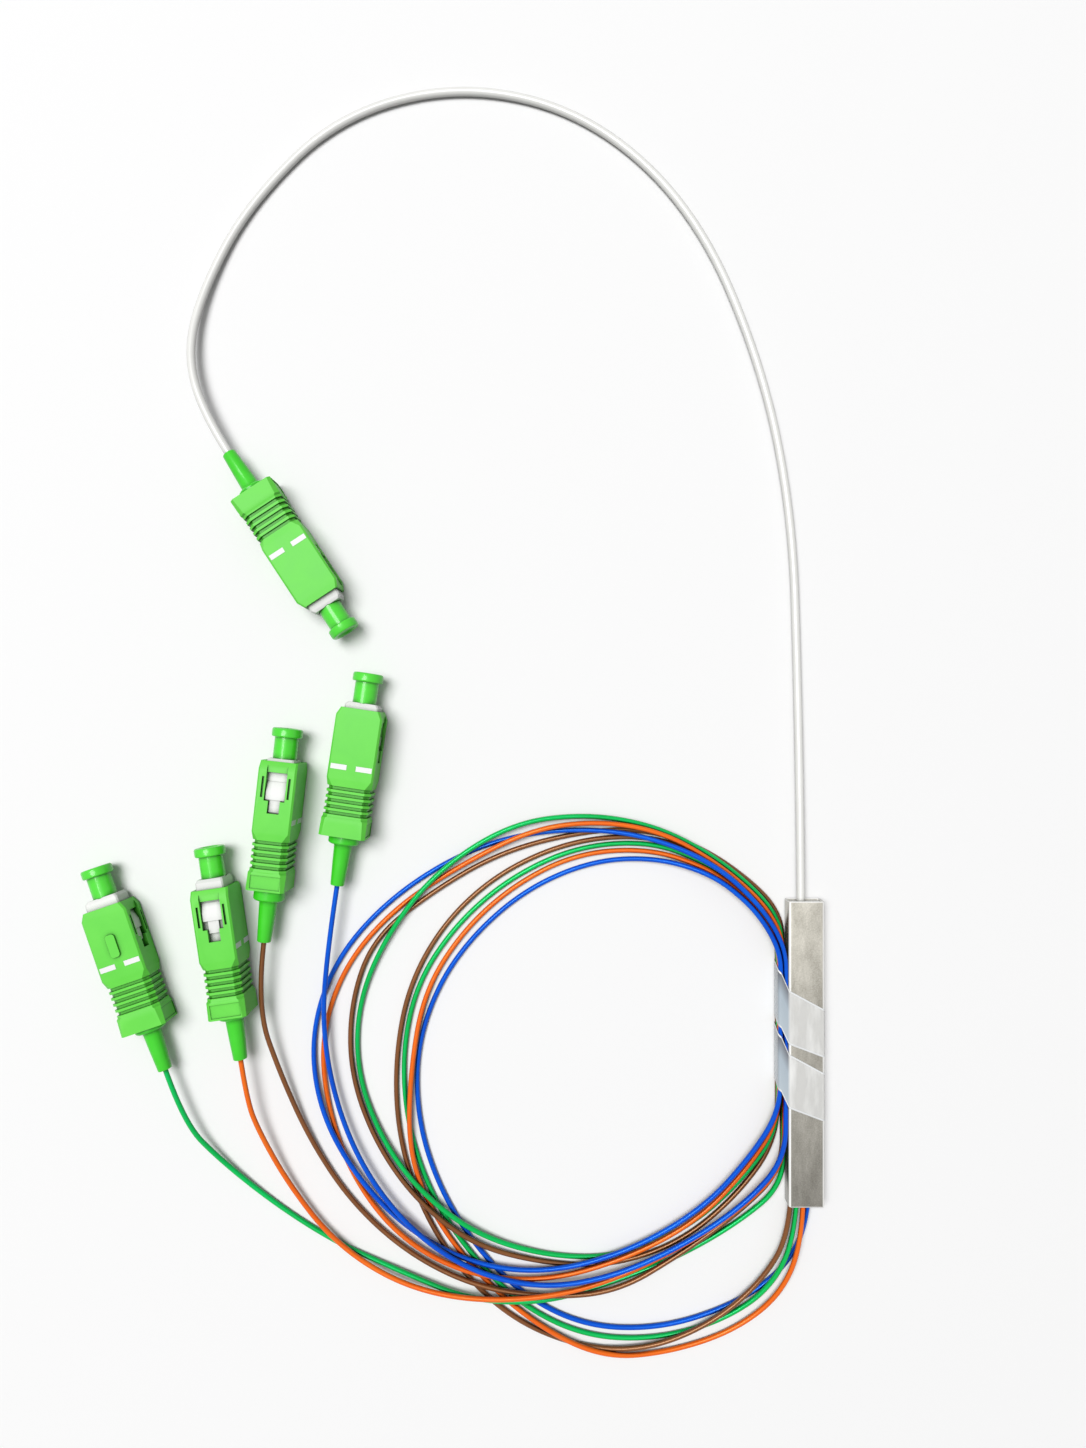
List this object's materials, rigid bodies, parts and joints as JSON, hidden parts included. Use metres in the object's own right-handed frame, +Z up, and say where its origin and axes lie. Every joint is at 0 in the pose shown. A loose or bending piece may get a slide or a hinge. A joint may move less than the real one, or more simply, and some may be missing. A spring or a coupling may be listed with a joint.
{
  "type": "plc fibre splitter",
  "caption": "Passive fibre splitter: a slim steel tube film-wrapped with looped coloured tails, each ending in a green square push-pull plug with a dust cap.",
  "frame": {"origin": "middle of the film-wrapped tube, at the bottom of the film that lies on the table", "axes": "+Y along the tube towards its input end, +Z up from the table, +X to the right when looking along +Y"},
  "size_m": [0.1459, 0.2529, 0.009],
  "materials": {
    "steel_tube": "fine brushed",
    "adhesive": "matt",
    "pad": "satin",
    "fibre_glass": "polished",
    "silica_chip": "polished",
    "bare_fibre": "gloss",
    "wrap_film": "clear gloss",
    "blue_jacket": "satin",
    "orange_jacket": "satin",
    "green_jacket": "satin",
    "brown_jacket": "satin",
    "white_jacket": "satin",
    "sleeve_green": "satin",
    "frame_white": "satin",
    "zirconia": "polished",
    "holder_metal": "turned",
    "spring_steel": "drawn",
    "rear_white": "satin",
    "boot_green": "satin",
    "cap_green": "gloss"
  },
  "bodies": {
    "splitter": {"splitter_tube": "steel_tube", "inlet_seal": "adhesive", "outlet_seal": "adhesive", "chip_pad": "pad", "input_fibre_block": "fibre_glass", "splitter_chip": "silica_chip", "output_fibre_block": "fibre_glass", "input_fibre": "bare_fibre", "output_ribbon": "bare_fibre", "spiral_wrap": "wrap_film", "cord_blue": "blue_jacket", "cord_orange": "orange_jacket", "cord_green": "green_jacket", "cord_brown": "brown_jacket", "cord_input": "white_jacket", "input_plug_frame": "frame_white", "input_rear_body": "rear_white", "input_boot": "boot_green", "input_spring": "spring_steel", "blue_plug_frame": "frame_white", "blue_rear_body": "rear_white", "blue_boot": "boot_green", "blue_spring": "spring_steel", "brown_plug_frame": "frame_white", "brown_rear_body": "rear_white", "brown_boot": "boot_green", "brown_spring": "spring_steel", "orange_plug_frame": "frame_white", "orange_rear_body": "rear_white", "orange_boot": "boot_green", "orange_spring": "spring_steel", "green_plug_frame": "frame_white", "green_rear_body": "rear_white", "green_boot": "boot_green", "green_spring": "spring_steel"},
    "input_grip": {"input_sleeve": "sleeve_green"},
    "input_ferrule_set": {"input_ferrule": "zirconia", "input_ferrule_holder": "holder_metal"},
    "input_cap": {"input_dust_cap": "cap_green"},
    "blue_grip": {"blue_sleeve": "sleeve_green"},
    "blue_ferrule_set": {"blue_ferrule": "zirconia", "blue_ferrule_holder": "holder_metal"},
    "blue_cap": {"blue_dust_cap": "cap_green"},
    "brown_grip": {"brown_sleeve": "sleeve_green"},
    "brown_ferrule_set": {"brown_ferrule": "zirconia", "brown_ferrule_holder": "holder_metal"},
    "brown_cap": {"brown_dust_cap": "cap_green"},
    "orange_grip": {"orange_sleeve": "sleeve_green"},
    "orange_ferrule_set": {"orange_ferrule": "zirconia", "orange_ferrule_holder": "holder_metal"},
    "orange_cap": {"orange_dust_cap": "cap_green"},
    "green_grip": {"green_sleeve": "sleeve_green"},
    "green_ferrule_set": {"green_ferrule": "zirconia", "green_ferrule_holder": "holder_metal"},
    "green_cap": {"green_dust_cap": "cap_green"}
  },
  "joints": [
    {"name": "input_sleeve_slide", "type": "slide", "parent": "splitter", "child": "input_grip", "axis": [0.5486, -0.8361, 0], "range_m": [-0.0004, 0.0014]},
    {"name": "input_ferrule_push", "type": "slide", "parent": "splitter", "child": "input_ferrule_set", "axis": [-0.5486, 0.8361, 0], "range_m": [0, 0.001], "stiffness_N_per_m": 500, "deforming": ["input_spring"]},
    {"name": "input_cap_pull", "type": "slide", "parent": "input_ferrule_set", "child": "input_cap", "axis": [-0.5486, 0.8361, 0], "range_m": [-0.006, 0]},
    {"name": "blue_sleeve_slide", "type": "slide", "parent": "splitter", "child": "blue_grip", "axis": [0.1478, 0.989, 0], "range_m": [-0.001, 0.0008]},
    {"name": "blue_ferrule_push", "type": "slide", "parent": "splitter", "child": "blue_ferrule_set", "axis": [-0.1478, -0.989, 0], "range_m": [0, 0.001], "stiffness_N_per_m": 500, "deforming": ["blue_spring"]},
    {"name": "blue_cap_pull", "type": "slide", "parent": "blue_ferrule_set", "child": "blue_cap", "axis": [0.1478, 0.989, 0], "range_m": [0, 0.006]},
    {"name": "brown_sleeve_slide", "type": "slide", "parent": "splitter", "child": "brown_grip", "axis": [0.1125, 0.9937, 0], "range_m": [-0.0017, 0.0001]},
    {"name": "brown_ferrule_push", "type": "slide", "parent": "splitter", "child": "brown_ferrule_set", "axis": [-0.1125, -0.9937, 0], "range_m": [0, 0.001], "stiffness_N_per_m": 500, "deforming": ["brown_spring"]},
    {"name": "brown_cap_pull", "type": "slide", "parent": "brown_ferrule_set", "child": "brown_cap", "axis": [0.1125, 0.9937, 0], "range_m": [0, 0.006]},
    {"name": "orange_sleeve_slide", "type": "slide", "parent": "splitter", "child": "orange_grip", "axis": [-0.1457, 0.9893, 0], "range_m": [-0.0003, 0.0015]},
    {"name": "orange_ferrule_push", "type": "slide", "parent": "splitter", "child": "orange_ferrule_set", "axis": [0.1457, -0.9893, 0], "range_m": [0, 0.001], "stiffness_N_per_m": 500, "deforming": ["orange_spring"]},
    {"name": "orange_cap_pull", "type": "slide", "parent": "orange_ferrule_set", "child": "orange_cap", "axis": [-0.1457, 0.9893, 0], "range_m": [0, 0.006]},
    {"name": "green_sleeve_slide", "type": "slide", "parent": "splitter", "child": "green_grip", "axis": [-0.3256, 0.9455, 0], "range_m": [-0.0003, 0.0015]},
    {"name": "green_ferrule_push", "type": "slide", "parent": "splitter", "child": "green_ferrule_set", "axis": [0.3256, -0.9455, 0], "range_m": [0, 0.001], "stiffness_N_per_m": 500, "deforming": ["green_spring"]},
    {"name": "green_cap_pull", "type": "slide", "parent": "green_ferrule_set", "child": "green_cap", "axis": [-0.3256, 0.9455, 0], "range_m": [0, 0.006]}
  ]
}
